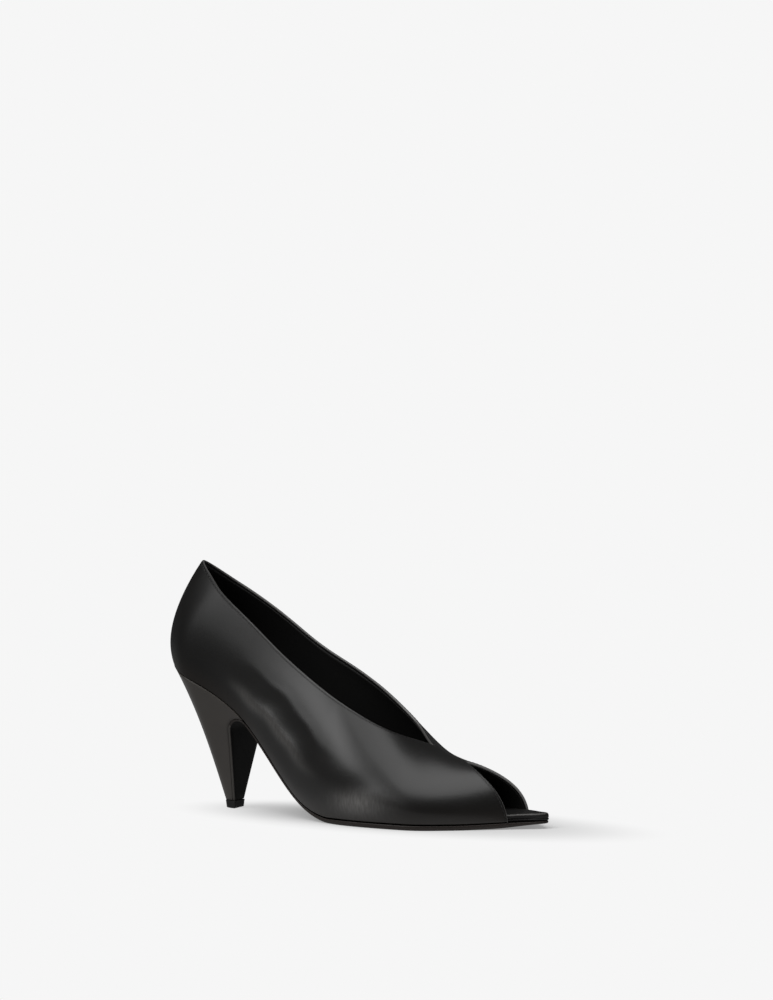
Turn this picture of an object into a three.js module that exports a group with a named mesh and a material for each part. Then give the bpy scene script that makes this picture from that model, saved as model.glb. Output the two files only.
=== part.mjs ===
// High heel pump with an open toe, the right shoe of a pair.
// Millimetres, +Z up, toe towards +X, inner side of the foot towards +Y, ground at Z = 0.
import * as THREE from 'three';
import { mergeVertices } from 'three/addons/utils/BufferGeometryUtils.js';

// Driving dimensions of the last
const LENGTH = 222;
const BALL_WIDTH = 74;
const HEEL_HEIGHT = 72;
const INSTEP_HEIGHT = 94;

// Thicknesses and gaps
const UPPER_WALL = 1.8;
const INSOLE_THICKNESS = 4;
const FOREPART_THICKNESS = 2.5;
const WAIST_THICKNESS = 1.2;
const NOSE_THICKNESS = 1.4;
const FIT_GAP = 0.3;

// Heel, its breast and its top piece
const TOP_PIECE_HEIGHT = 4.2;
const TOP_PIECE_PROUD = 0.1;
const TIP_WIDTH = 10.8;
const TIP_DEPTH = 8;
const BREAST_X = 39;
const BREAST_STATION = 2.6;
const ARCH_START = 0.25;
const ARCH_RADIUS = 6.5;
const HEEL_HOLLOW = 3;
const SIDE_HOLLOW_SHARE = 0.15;
const HOLLOW_RISE = 0.8;
const HEEL_FRONT_EDGE = 0.4;

// Sections between which the front edges of the heel's sides are looked for
const HEEL_BACK_SECTION = 0.2;
const HEEL_FRONT_SECTION = 3.6;

// Where the throat and the toe opening end, in section numbers
const THROAT_SECTION = 6.77;
const PEEP_SECTION = 7.6;
const CORNER_SECTION = 8;
const PEEP_SWEEP = 1.51;

// Sections over which the crown line starts to lead the surface
const CROWN_LEAD_FROM = 3.5;
const CROWN_LEAD_TO = 5.5;

// Edges of insole and outsole
const OUTSOLE_PROUD = 0.5;
const NOSE_INSET = 0.1;
const INSOLE_NOSE_PROUD = 0.3;
const WAIST_INSET = 0.4;
const SOLE_BEVEL = 0.8;
const BEVEL_SHARE = 0.35;
const INSOLE_ROUNDING = 0.9;
const INSOLE_GROOVE = 0.25;

// Shares of the length between which the sole changes from waist to forepart, and where the nose thins
const WAIST_END = 0.38;
const FOREPART_START = 0.55;
const NOSE_START = 0.9;

// Fineness of the grids
const THROAT_COLUMNS = 24;
const PEEP_COLUMNS = 8;
const UPPER_ROWS = 14;
const INSOLE_COLUMNS = 56;
const OUTSOLE_COLUMNS = 40;
const ARCH_STEPS = 10;
const BREAST_STEPS = 5;
const HEEL_ROWS = 14;
const HEEL_COLUMNS = 18;
const HEEL_ROW_GRADING = 1.7;
const WRAPPED_KNOTS = 6;

// A table with named columns becomes one list for each column
function table(names, rows) {
  const columns = {};
  names.forEach((name, index) => {
    columns[name] = rows.map((row) => row[index]);
  });
  return columns;
}

// Plan of the lower edge: a row for each section, as shares of length and ball width
const OUTLINE = table(['along', 'outer', 'inner'], [
  [0.000, 0.000, 0.000],
  [0.050, 0.265, 0.265],
  [0.115, 0.338, 0.330],
  [0.250, 0.300, 0.310],
  [0.400, 0.365, 0.290],
  [0.550, 0.490, 0.400],
  [0.690, 0.515, 0.475],
  [0.785, 0.435, 0.425],
  [0.930, 0.135, 0.245],
  [0.985, 0.035, 0.115],
  [1.007, -0.040, 0.040],
]);

// Side of the last at each section, low and high: leaning out in ball widths, rising in instep heights
const SIDE = table(['lowOut', 'lowUp', 'highOut', 'highUp'], [
  [0.111, 0.213, -0.090, 0.457],
  [0.080, 0.213, -0.031, 0.477],
  [0.065, 0.213, 0.022, 0.474],
  [0.089, 0.213, 0.063, 0.445],
  [0.096, 0.191, 0.083, 0.388],
  [0.086, 0.170, 0.079, 0.286],
  [0.061, 0.128, 0.054, 0.187],
  [0.032, 0.106, 0.012, 0.145],
  [-0.004, 0.085, -0.044, 0.212],
]);

// Crown of the last at each section: place along the length, height in instep heights,
// and in ball widths the shift to the inner side and the spread of the top
const CROWN = table(['along', 'height', 'shift', 'spread'], [
  [0.184, 1.622, -0.016, 0.263],
  [0.224, 1.470, -0.005, 0.213],
  [0.272, 1.329, 0.008, 0.242],
  [0.340, 1.201, 0.021, 0.308],
  [0.437, 1.051, 0.027, 0.337],
  [0.542, 0.814, 0.026, 0.351],
  [0.639, 0.576, 0.018, 0.325],
  [0.731, 0.406, 0.010, 0.240],
  [0.847, 0.328, 0.010, 0.118],
]);

// Height of the lower edge over the ball, as shares of length and heel height
const PROFILE = table(['along', 'height'], [
  [0.00, 1.074],
  [0.12, 0.931],
  [0.25, 0.643],
  [0.40, 0.126],
  [0.55, -0.008],
  [0.68, -0.002],
  [0.80, -0.002],
  [1.00, 0.022],
]);

// Topline: how far up the side it is cut, at eight even steps from the back to the throat
const TOPLINE = table(['outer', 'inner'], [
  [0.651, 0.651],
  [0.660, 0.649],
  [0.655, 0.679],
  [0.651, 0.708],
  [0.682, 0.747],
  [0.709, 0.786],
  [0.803, 0.862],
  [1.000, 1.000],
]);

const TIP_SECTION = OUTLINE.along.length - 1;
const FEATHER_HEIGHT = FOREPART_THICKNESS + FIT_GAP;

// Natural cubic spline through the knots, as a function of x
function spline(x, y) {
  const last = x.length - 1;
  const carry = new Array(last + 1).fill(0);
  const bend = new Array(last + 1).fill(0);
  for (let i = 1; i < last; i++) {
    const before = x[i] - x[i - 1];
    const after = x[i + 1] - x[i];
    const pivot = 2 * (before + after) - before * carry[i - 1];
    const turn = 6 * ((y[i + 1] - y[i]) / after - (y[i] - y[i - 1]) / before);
    carry[i] = after / pivot;
    bend[i] = (turn - before * bend[i - 1]) / pivot;
  }
  for (let i = last - 1; i > 0; i--) {
    bend[i] -= carry[i] * bend[i + 1];
  }
  return (at) => {
    let i = 0;
    while (i < last - 1 && at >= x[i + 1]) {
      i++;
    }
    const step = x[i + 1] - x[i];
    const a = (x[i + 1] - at) / step;
    const b = (at - x[i]) / step;
    const curved = (a ** 3 - a) * bend[i] + (b ** 3 - b) * bend[i + 1];
    return a * y[i] + b * y[i + 1] + (curved * step * step) / 6;
  };
}

function blend(from, to, at) {
  const share = THREE.MathUtils.clamp(at, 0, 1);
  return from + (to - from) * share * share * (3 - 2 * share);
}

// Root of a function that changes sign once between low and high
function solve(low, high, value) {
  const rising = value(high) > value(low);
  let a = low;
  let b = high;
  for (let i = 0; i < 40; i++) {
    const middle = (a + b) / 2;
    if (value(middle) > 0 === rising) {
      b = middle;
    } else {
      a = middle;
    }
  }
  return (a + b) / 2;
}

// A column as a spline of the section number, alike on both sides: minus is outer, plus is inner
function evenSpline(column) {
  const number = column.map((_, index) => index);
  const mirrored = [...number.slice(1).reverse().map((n) => -n), ...number];
  return spline(mirrored, mirrored.map((n) => column[Math.abs(n)]));
}

// The plan outline closes at the tip, so its knots run on past the tip on both sides
function closedOutline() {
  const numbers = [];
  const xs = [];
  const ys = [];
  for (let n = -TIP_SECTION - WRAPPED_KNOTS; n <= TIP_SECTION + WRAPPED_KNOTS; n++) {
    const round = 2 * TIP_SECTION;
    const wrapped = ((((n + TIP_SECTION) % round) + round) % round) - TIP_SECTION;
    const row = Math.abs(wrapped);
    numbers.push(n);
    xs.push(OUTLINE.along[row] * LENGTH);
    ys.push((wrapped < 0 ? -OUTLINE.outer[row] : OUTLINE.inner[row]) * BALL_WIDTH);
  }
  return { x: spline(numbers, xs), y: spline(numbers, ys) };
}

const outline = closedOutline();
const side = Object.fromEntries(Object.entries(SIDE).map(([name, column]) => [name, evenSpline(column)]));
const crown = Object.fromEntries(Object.entries(CROWN).map(([name, column]) => [name, evenSpline(column)]));
const profileHeight = spline(PROFILE.along, PROFILE.height);
const toplineSteps = TOPLINE.outer.map((_, index) => (index * THROAT_SECTION) / (TOPLINE.outer.length - 1));
const topline = {
  outer: spline(toplineSteps, TOPLINE.outer),
  inner: spline(toplineSteps, TOPLINE.inner),
};

// Outward direction of the outline in plan
function outlineNormal(section) {
  const step = 0.001;
  const dx = outline.x(section + step) - outline.x(section - step);
  const dy = outline.y(section + step) - outline.y(section - step);
  return new THREE.Vector2(-dy, dx).normalize();
}

// Height of the upper's lower edge, flat under the ball
function edgeHeight(x) {
  return FEATHER_HEIGHT + HEEL_HEIGHT * Math.max(profileHeight(x / LENGTH), 0);
}

function edgeSlope(x) {
  const step = 0.05;
  return (edgeHeight(x + step) - edgeHeight(x - step)) / (2 * step);
}

// A point of the outline moved outwards in plan and then up, square to the profile
function edgePoint(section, outwards, up) {
  const normal = outlineNormal(section);
  const x = outline.x(section) + normal.x * outwards;
  const y = outline.y(section) + normal.y * outwards;
  const slope = edgeSlope(x);
  const length = Math.hypot(1, slope);
  return new THREE.Vector3(x - (slope * up) / length, y, edgeHeight(x) + up / length);
}

// Slope of the crown line, which leads the surface over the instep without a crease
function crownSlope(section) {
  const step = 0.001;
  const s = THREE.MathUtils.clamp(Math.abs(section), step, CORNER_SECTION - step);
  const rise = (crown.height(s + step) - crown.height(s - step)) * INSTEP_HEIGHT;
  const run = (crown.along(s + step) - crown.along(s - step)) * LENGTH;
  return (blend(0, 1, (s - CROWN_LEAD_FROM) / (CROWN_LEAD_TO - CROWN_LEAD_FROM)) * rise) / run;
}

// The last's surface: up one side of a section, t = 0 at the lower edge and 1 at the crown
function lastPoint(section, t) {
  const normal = outlineNormal(section);
  const foot = edgePoint(section, 0, 0);
  const lean = (out, up) => new THREE.Vector3(normal.x * out, normal.y * out, 0)
    .multiplyScalar(BALL_WIDTH)
    .add(foot)
    .setZ(foot.z + up * INSTEP_HEIGHT);
  const low = lean(side.lowOut(section), side.lowUp(section));
  const high = lean(side.highOut(section), side.highUp(section));
  const top = new THREE.Vector3(
    crown.along(section) * LENGTH,
    crown.shift(section) * BALL_WIDTH,
    crown.height(section) * INSTEP_HEIGHT,
  );
  const away = new THREE.Vector3(foot.x - top.x, foot.y - top.y, 0).setLength(crown.spread(section) * BALL_WIDTH);
  away.z = away.x * crownSlope(section);
  const shoulder = top.clone().add(away);
  const rest = 1 - t;
  return new THREE.Vector3()
    .addScaledVector(foot, rest ** 4)
    .addScaledVector(low, 4 * t * rest ** 3)
    .addScaledVector(high, 6 * t * t * rest * rest)
    .addScaledVector(shoulder, 4 * t ** 3 * rest)
    .addScaledVector(top, t ** 4);
}

// Closed solids from triangles of points: alike points become one, and the faces point out
function solid(triangles) {
  const geometry = new THREE.BufferGeometry().setFromPoints(triangles.flat());
  const merged = mergeVertices(geometry, 1e-4);
  const index = merged.getIndex().array;
  const position = merged.getAttribute('position');
  const corner = (i) => new THREE.Vector3().fromBufferAttribute(position, i);
  const kept = [];
  let volume = 0;
  for (let i = 0; i < index.length; i += 3) {
    const [a, b, c] = [index[i], index[i + 1], index[i + 2]];
    if (a !== b && b !== c && c !== a) {
      kept.push([a, b, c]);
      volume += corner(a).dot(corner(b).cross(corner(c)));
    }
  }
  const facing = volume < 0 ? kept.map(([a, b, c]) => [a, c, b]) : kept;
  merged.setIndex(facing.flat());
  merged.computeVertexNormals();
  return merged;
}

function quad(a, b, c, d) {
  return [[a, b, c], [a, c, d]];
}

// A solid between closed rings with alike numbers of points, each end closed by a strip.
// Point 0 of a ring is its nose, and point i lies across from point count - i.
function ringSolid(rings) {
  const count = rings[0].length;
  const triangles = [];
  for (let r = 0; r < rings.length - 1; r++) {
    for (let i = 0; i < count; i++) {
      const j = (i + 1) % count;
      triangles.push(...quad(rings[r][i], rings[r][j], rings[r + 1][j], rings[r + 1][i]));
    }
  }
  const close = (ring, facing) => {
    for (let i = 0; i < Math.floor(count / 2); i++) {
      const strip = [ring[i], ring[(count - i) % count], ring[(count - i - 1) % count], ring[i + 1]];
      triangles.push(...quad(...(facing ? strip : strip.reverse())));
    }
  };
  close(rings[0], true);
  close(rings[rings.length - 1], false);
  return solid(triangles);
}

// Upper: one column of the outer surface, on the outer side for a negative number
function upperColumn(number) {
  const sign = Math.sign(number) || 1;
  const n = Math.abs(number);
  const points = [];
  for (let row = 0; row <= UPPER_ROWS; row++) {
    const share = row / UPPER_ROWS;
    if (n <= THROAT_COLUMNS) {
      const section = (THROAT_SECTION * n) / THROAT_COLUMNS;
      const cut = sign < 0 ? topline.outer(section) : topline.inner(section);
      points.push(lastPoint(sign * section, share * cut));
    } else {
      const forward = (n - THROAT_COLUMNS) / PEEP_COLUMNS;
      const foot = THREE.MathUtils.lerp(THROAT_SECTION, CORNER_SECTION, forward);
      const head = THREE.MathUtils.lerp(THROAT_SECTION, PEEP_SECTION, forward);
      const section = THREE.MathUtils.lerp(foot, head, share ** PEEP_SWEEP);
      points.push(lastPoint(sign * section, share));
    }
  }
  return points;
}

function pointKey(point) {
  return point.toArray().map((v) => v.toFixed(3)).join(' ');
}

// Outward directions at the points of the outer surface
function surfaceNormals(columns) {
  const triangles = [];
  for (let c = 0; c < columns.length - 1; c++) {
    for (let r = 0; r < UPPER_ROWS; r++) {
      triangles.push(...quad(columns[c][r], columns[c][r + 1], columns[c + 1][r + 1], columns[c + 1][r]));
    }
  }
  const surface = mergeVertices(new THREE.BufferGeometry().setFromPoints(triangles.flat()), 1e-4);
  surface.computeVertexNormals();
  const normals = new Map();
  const position = surface.getAttribute('position');
  const normal = surface.getAttribute('normal');
  for (let i = 0; i < position.count; i++) {
    const at = new THREE.Vector3().fromBufferAttribute(position, i);
    normals.set(pointKey(at), new THREE.Vector3().fromBufferAttribute(normal, i));
  }
  return normals;
}

// Upper: a wall between the last's surface and its inside, open at throat, toe and underneath
function makeUpper() {
  const columnCount = THROAT_COLUMNS + PEEP_COLUMNS;
  const outer = [];
  for (let n = -columnCount; n <= columnCount; n++) {
    outer.push(upperColumn(n).map((p) => new THREE.Vector3(...p.toArray().map(Math.fround))));
  }
  const normals = surfaceNormals(outer);
  const loops = outer.map((column) => {
    const inside = column.map((point, row) => {
      const inwards = normals.get(pointKey(point)).clone().negate();
      if (row === 0) {
        inwards.z = 0;
        inwards.normalize();
      }
      return point.clone().addScaledVector(inwards, UPPER_WALL);
    });
    return [...column, ...inside.reverse()];
  });
  const size = loops[0].length;
  const triangles = [];
  for (let c = 0; c < loops.length - 1; c++) {
    const bothAhead = Math.min(Math.abs(c - columnCount), Math.abs(c + 1 - columnCount)) >= THROAT_COLUMNS;
    for (let i = 0; i < size; i++) {
      const j = (i + 1) % size;
      const atTop = i === UPPER_ROWS;
      if (!(atTop && bothAhead)) {
        triangles.push(...quad(loops[c][i], loops[c][j], loops[c + 1][j], loops[c + 1][i]));
      }
    }
  }
  const first = loops[0];
  const final = loops[loops.length - 1];
  for (let i = 0; i < UPPER_ROWS; i++) {
    triangles.push(...quad(first[i], first[size - 1 - i], first[size - 2 - i], first[i + 1]));
    triangles.push(...quad(final[i], final[i + 1], final[size - 2 - i], final[size - 1 - i]));
  }
  return solid(triangles);
}

// How far a section lies past the corners of the toe opening, 1 at the tip
function pastCorner(section) {
  return (Math.abs(section) - CORNER_SECTION) / (TIP_SECTION - CORNER_SECTION);
}

// Insole: follows the last's edge inside the wall and reaches the edge at the bare toe
function makeInsole() {
  const sections = [];
  for (let k = 0; k < 2 * INSOLE_COLUMNS; k++) {
    sections.push((TIP_SECTION * k) / INSOLE_COLUMNS - TIP_SECTION);
  }
  const ring = (inset, up) => sections.map((section) => {
    const proud = blend(-UPPER_WALL - FIT_GAP, INSOLE_NOSE_PROUD, pastCorner(section));
    return edgePoint(section, proud - inset, up);
  });
  return ringSolid([
    ring(INSOLE_GROOVE, 0),
    ring(0, INSOLE_ROUNDING),
    ring(0, INSOLE_THICKNESS - INSOLE_ROUNDING),
    ring(INSOLE_ROUNDING / 3, INSOLE_THICKNESS - INSOLE_ROUNDING / 3),
    ring(INSOLE_ROUNDING, INSOLE_THICKNESS),
  ]);
}

// Path of the outsole's lower face under the arch and down the breast, in the XZ plane
function archPath() {
  const startX = ARCH_START * LENGTH;
  const slope = edgeSlope(startX);
  const downwards = new THREE.Vector2(slope, -1).normalize();
  const edge = new THREE.Vector2(startX, edgeHeight(startX));
  const start = edge.clone().addScaledVector(downwards, FIT_GAP + WAIST_THICKNESS);
  const centre = start.clone().addScaledVector(downwards, ARCH_RADIUS);
  const foot = new THREE.Vector2(BREAST_X, TOP_PIECE_HEIGHT + FIT_GAP);
  const toCentre = centre.clone().sub(foot);
  const rise = toCentre.angle() + Math.asin(ARCH_RADIUS / toCentre.length());
  const startAngle = downwards.clone().negate().angle();
  return { start, centre, foot, startAngle, endAngle: rise + Math.PI / 2 };
}

const arch = archPath();

// A point at an angle of the arch, raised from the lower face
function archPoint(angle, raised) {
  const reach = ARCH_RADIUS + raised;
  return new THREE.Vector2(Math.cos(angle), Math.sin(angle)).multiplyScalar(reach).add(arch.centre);
}

// Depth behind the outsole's lower face, past the arch's start, round it and down the breast
function depthBehindFace(x, z) {
  const point = new THREE.Vector2(x, z);
  const startNormal = new THREE.Vector2(Math.cos(arch.startAngle), Math.sin(arch.startAngle));
  const endNormal = new THREE.Vector2(Math.cos(arch.endAngle), Math.sin(arch.endAngle));
  const fromCentre = point.clone().sub(arch.centre);
  if (fromCentre.cross(endNormal) < 0) {
    return point.clone().sub(arch.foot).dot(endNormal);
  }
  if (fromCentre.cross(startNormal) > 0) {
    return point.clone().sub(arch.start).dot(startNormal);
  }
  return fromCentre.length() - ARCH_RADIUS;
}

// Side of the heel: from the seat's edge, t = 0, to the rim of the tip, t = 1
function heelPoint(section, t) {
  const seat = edgePoint(section, 0, -FIT_GAP);
  const turn = ((Math.PI / 2) * section) / BREAST_STATION;
  const rim = new THREE.Vector3(
    BREAST_X - TIP_DEPTH * Math.cos(turn),
    (TIP_WIDTH / 2) * Math.sin(turn),
    TOP_PIECE_HEIGHT + FIT_GAP,
  );
  const normal = outlineNormal(section);
  const hollow = HEEL_HOLLOW * Math.sin(Math.PI * t ** HOLLOW_RISE);
  const point = seat.lerp(rim, t);
  point.x -= normal.x * hollow;
  point.y -= normal.y * hollow * SIDE_HOLLOW_SHARE;
  return point;
}

// Half width of the heel's side at a place in the XZ plane
function heelSideY(sign, x, z) {
  const at = (section) => {
    const seatZ = heelPoint(sign * section, 0).z;
    const share = (seatZ - z) / (seatZ - TOP_PIECE_HEIGHT - FIT_GAP);
    return heelPoint(sign * section, THREE.MathUtils.clamp(share, 0, 1));
  };
  const section = solve(HEEL_BACK_SECTION, HEEL_FRONT_SECTION, (s) => at(s).x - x);
  return at(section).y;
}

// Outsole: forepart and waist, then round the arch and down the breast of the heel
function makeOutsole() {
  const startSection = solve(1, CORNER_SECTION, (s) => outline.x(s) - ARCH_START * LENGTH);
  const ring = (raised, bevel) => {
    const outer = [];
    const inner = [];
    for (let k = 0; k <= OUTSOLE_COLUMNS; k++) {
      const section = THREE.MathUtils.lerp(TIP_SECTION, startSection, k / OUTSOLE_COLUMNS);
      const along = outline.x(section) / LENGTH;
      const toBall = (along - WAIST_END) / (FOREPART_START - WAIST_END);
      const toNose = (along - NOSE_START) / (1 - NOSE_START);
      const forepart = blend(FOREPART_THICKNESS, NOSE_THICKNESS, toNose);
      const thickness = blend(WAIST_THICKNESS, forepart, toBall);
      const proud = blend(-WAIST_INSET, blend(OUTSOLE_PROUD, -NOSE_INSET, pastCorner(section)), toBall) - bevel;
      const down = -FIT_GAP - thickness * (1 - raised);
      outer.push(edgePoint(-section, proud, down));
      inner.push(edgePoint(section, proud, down));
    }
    const add = (place) => {
      const slim = bevel / 2;
      outer.push(new THREE.Vector3(place.x, heelSideY(-1, place.x, place.y) + slim, place.y));
      inner.push(new THREE.Vector3(place.x, heelSideY(1, place.x, place.y) - slim, place.y));
    };
    for (let k = 1; k <= ARCH_STEPS; k++) {
      const angle = THREE.MathUtils.lerp(arch.startAngle, arch.endAngle, k / ARCH_STEPS);
      add(archPoint(angle, raised * WAIST_THICKNESS));
    }
    const breastTop = archPoint(arch.endAngle, raised * WAIST_THICKNESS);
    const breastFoot = arch.foot.clone();
    breastFoot.x -= raised * WAIST_THICKNESS;
    for (let k = 1; k <= BREAST_STEPS; k++) {
      add(breastTop.clone().lerp(breastFoot, k / BREAST_STEPS));
    }
    return [...outer, ...inner.slice(1).reverse()];
  };
  return ringSolid([ring(0, SOLE_BEVEL), ring(BEVEL_SHARE, 0), ring(1, 0)]);
}

// Heel: a cone block under the seat, cut in front along the arch and the breast
function makeHeel() {
  const rings = [];
  for (let r = 0; r <= HEEL_ROWS; r++) {
    const t = (r / HEEL_ROWS) ** HEEL_ROW_GRADING;
    const clear = WAIST_THICKNESS + FIT_GAP + (r === 0 ? HEEL_FRONT_EDGE : 0);
    const end = (sign) => solve(HEEL_BACK_SECTION, HEEL_FRONT_SECTION, (s) => {
      const p = heelPoint(sign * s, t);
      return depthBehindFace(p.x, p.z) - clear;
    });
    const innerEnd = end(1);
    const outerEnd = end(-1);
    const ring = [];
    for (let k = 0; k <= HEEL_COLUMNS; k++) {
      ring.push(heelPoint((innerEnd * k) / HEEL_COLUMNS, t));
    }
    for (let k = HEEL_COLUMNS; k > 0; k--) {
      ring.push(heelPoint((-outerEnd * k) / HEEL_COLUMNS, t));
    }
    rings.push(ring);
  }
  return ringSolid(rings);
}

// Top piece: the rubber tip that the heel stands on, flat underneath
function makeTopPiece() {
  const half = TIP_WIDTH / 2 + TOP_PIECE_PROUD;
  const front = BREAST_X + TOP_PIECE_PROUD;
  const plan = new THREE.Shape();
  plan.moveTo(front, half);
  plan.lineTo(BREAST_X, half);
  plan.absellipse(BREAST_X, 0, TIP_DEPTH + TOP_PIECE_PROUD, half, Math.PI / 2, Math.PI * 1.5, false, 0);
  plan.lineTo(front, -half);
  plan.closePath();
  const block = new THREE.ExtrudeGeometry(plan, { depth: TOP_PIECE_HEIGHT, bevelEnabled: false, curveSegments: 14 });
  block.deleteAttribute('normal');
  block.deleteAttribute('uv');
  const merged = mergeVertices(block, 1e-4);
  merged.computeVertexNormals();
  return merged;
}

const leather = (colour, roughness) => new THREE.MeshStandardMaterial({ color: colour, roughness, metalness: 0 });

const pieces = [
  ['upper', makeUpper(), leather(0x2a2826, 0.42)],
  ['insole', makeInsole(), leather(0x232120, 0.5)],
  ['outsole', makeOutsole(), leather(0x1c1917, 0.5)],
  ['heel', makeHeel(), leather(0x2c2a27, 0.4)],
  ['top_piece', makeTopPiece(), leather(0x151414, 0.7)],
];

const shoe = new THREE.Group();
for (const [name, geometry, material] of pieces) {
  const mesh = new THREE.Mesh(geometry, material);
  mesh.name = name;
  shoe.add(mesh);
}

// The origin is the middle of the shoe's footprint, on the ground
const box = new THREE.Box3().setFromObject(shoe);
shoe.position.set(-(box.min.x + box.max.x) / 2, -(box.min.y + box.max.y) / 2, -box.min.z);

export default shoe;
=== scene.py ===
import math

import bpy
import numpy as np
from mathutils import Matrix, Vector
from mathutils.bvhtree import BVHTree
from mathutils.kdtree import KDTree


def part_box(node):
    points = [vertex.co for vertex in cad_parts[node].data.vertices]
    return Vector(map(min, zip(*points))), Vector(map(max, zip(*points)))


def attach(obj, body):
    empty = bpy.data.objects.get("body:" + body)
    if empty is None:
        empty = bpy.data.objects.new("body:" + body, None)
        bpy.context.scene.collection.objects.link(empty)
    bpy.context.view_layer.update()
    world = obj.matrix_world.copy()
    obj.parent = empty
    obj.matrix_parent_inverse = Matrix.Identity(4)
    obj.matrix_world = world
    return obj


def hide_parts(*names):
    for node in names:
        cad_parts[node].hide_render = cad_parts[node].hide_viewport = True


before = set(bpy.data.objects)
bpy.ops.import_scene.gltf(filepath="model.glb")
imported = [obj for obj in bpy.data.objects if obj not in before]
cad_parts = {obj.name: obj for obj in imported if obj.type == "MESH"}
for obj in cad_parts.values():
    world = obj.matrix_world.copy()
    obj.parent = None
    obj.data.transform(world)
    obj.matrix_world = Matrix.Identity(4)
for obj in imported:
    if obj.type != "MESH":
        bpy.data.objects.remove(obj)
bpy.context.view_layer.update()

MM = 0.001

# Keeps a division from failing where there is no length
TINY = 1e-12

# Driving dimensions of the last
LENGTH = 222
BALL_WIDTH = 74
HEEL_HEIGHT = 72
INSTEP_HEIGHT = 94

# Thicknesses and gaps
UPPER_WALL = 1.8
INSOLE_THICKNESS = 4
FOREPART_THICKNESS = 2.5
WAIST_THICKNESS = 1.2
NOSE_THICKNESS = 1.4
FIT_GAP = 0.3

# Heel, its breast and its top piece
TOP_PIECE_HEIGHT = 4.2
TOP_PIECE_PROUD = 0.1
TIP_WIDTH = 10.8
TIP_DEPTH = 8
BREAST_X = 39
BREAST_STATION = 2.6
ARCH_START = 0.25
ARCH_RADIUS = 6.5
HEEL_HOLLOW = 3
SIDE_HOLLOW_SHARE = 0.15
HOLLOW_RISE = 0.8
HEEL_FRONT_EDGE = 0.4
HEEL_TOP_ROUNDING = 0.45

# Sections between which the front edges of the heel's sides are looked for
HEEL_BACK_SECTION = 0.2
HEEL_FRONT_SECTION = 3.6

# Where the throat and the toe opening end, in section numbers
THROAT_SECTION = 6.77
PEEP_SECTION = 7.6
CORNER_SECTION = 8
PEEP_SWEEP = 1.51

# Sections over which the crown line starts to lead the surface
CROWN_LEAD_FROM = 3.5
CROWN_LEAD_TO = 5.5

# Edges of insole and outsole
OUTSOLE_PROUD = 0.5
NOSE_INSET = 0.1
INSOLE_NOSE_PROUD = 0.3
WAIST_INSET = 0.4

# Shares of the length between which the sole changes from waist to forepart, and where the nose thins
WAIST_END = 0.38
FOREPART_START = 0.55
NOSE_START = 0.9

# Plan of the lower edge: a row for each section, as shares of length and ball width
OUTLINE = {
    "along": [0, .050, .115, .250, .400, .550, .690, .785, .930, .985, 1.007],
    "outer": [0, .265, .338, .300, .365, .490, .515, .435, .135, .035, -.040],
    "inner": [0, .265, .330, .310, .290, .400, .475, .425, .245, .115, .040],
}

# Side of the last at each section, low and high: leaning out in ball widths, rising in instep heights
SIDE = {
    "low_out": [.111, .080, .065, .089, .096, .086, .061, .032, -.004],
    "low_up": [.213, .213, .213, .213, .191, .170, .128, .106, .085],
    "high_out": [-.090, -.031, .022, .063, .083, .079, .054, .012, -.044],
    "high_up": [.457, .477, .474, .445, .388, .286, .187, .145, .212],
}

# Crown of the last at each section: place along the length, height in instep heights,
# and in ball widths the shift to the inner side and the spread of the top
CROWN = {
    "along": [.184, .224, .272, .340, .437, .542, .639, .731, .847],
    "height": [1.622, 1.470, 1.329, 1.201, 1.051, .814, .576, .406, .328],
    "shift": [-.016, -.005, .008, .021, .027, .026, .018, .010, .010],
    "spread": [.263, .213, .242, .308, .337, .351, .325, .240, .118],
}

# Height of the lower edge over the ball, as shares of length and heel height
PROFILE = {
    "along": [0, .12, .25, .40, .55, .68, .80, 1],
    "height": [1.074, .931, .643, .126, -.008, -.002, -.002, .022],
}

# Topline: how far up the side it is cut, at even steps from the back to the throat
TOPLINE = {
    "outer": [.651, .660, .655, .651, .682, .709, .803, 1],
    "inner": [.651, .649, .679, .708, .747, .786, .862, 1],
}

TIP_SECTION = len(OUTLINE["along"]) - 1
FEATHER_HEIGHT = FOREPART_THICKNESS + FIT_GAP


# Shape of the last

def spline(x, y):
    """Natural cubic spline through the knots, as a function of arrays."""
    x = np.asarray(x, float)
    y = np.asarray(y, float)
    count = len(x)
    step = np.diff(x)
    matrix = np.eye(count)
    turn = np.zeros(count)
    for i in range(1, count - 1):
        matrix[i, i - 1:i + 2] = step[i - 1], 2 * (step[i - 1] + step[i]), step[i]
        turn[i] = 6 * ((y[i + 1] - y[i]) / step[i] - (y[i] - y[i - 1]) / step[i - 1])
    bend = np.linalg.solve(matrix, turn)

    def value(at):
        at = np.asarray(at, float)
        i = np.clip(np.searchsorted(x, at, side="right") - 1, 0, count - 2)
        a = (x[i + 1] - at) / step[i]
        b = (at - x[i]) / step[i]
        curved = (a ** 3 - a) * bend[i] + (b ** 3 - b) * bend[i + 1]
        return a * y[i] + b * y[i + 1] + curved * step[i] ** 2 / 6

    return value


def blend(start, end, share):
    """Soft step from start to end as share goes from 0 to 1."""
    share = np.clip(share, 0, 1)
    return start + (end - start) * share * share * (3 - 2 * share)


def hump(at, centre, width):
    """Soft bump of height 1 around centre, of that half width."""
    return np.exp(-((at - centre) / width) ** 2)


HALVINGS = 40


def solve(low, high, value):
    """Roots between low and high of a function that changes sign once, for arrays."""
    low = np.array(low, float)
    high = np.array(high, float)
    rising = value(high) > value(low)
    for _ in range(HALVINGS):
        middle = (low + high) / 2
        past = (value(middle) > 0) == rising
        high = np.where(past, middle, high)
        low = np.where(past, low, middle)
    return (low + high) / 2


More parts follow.
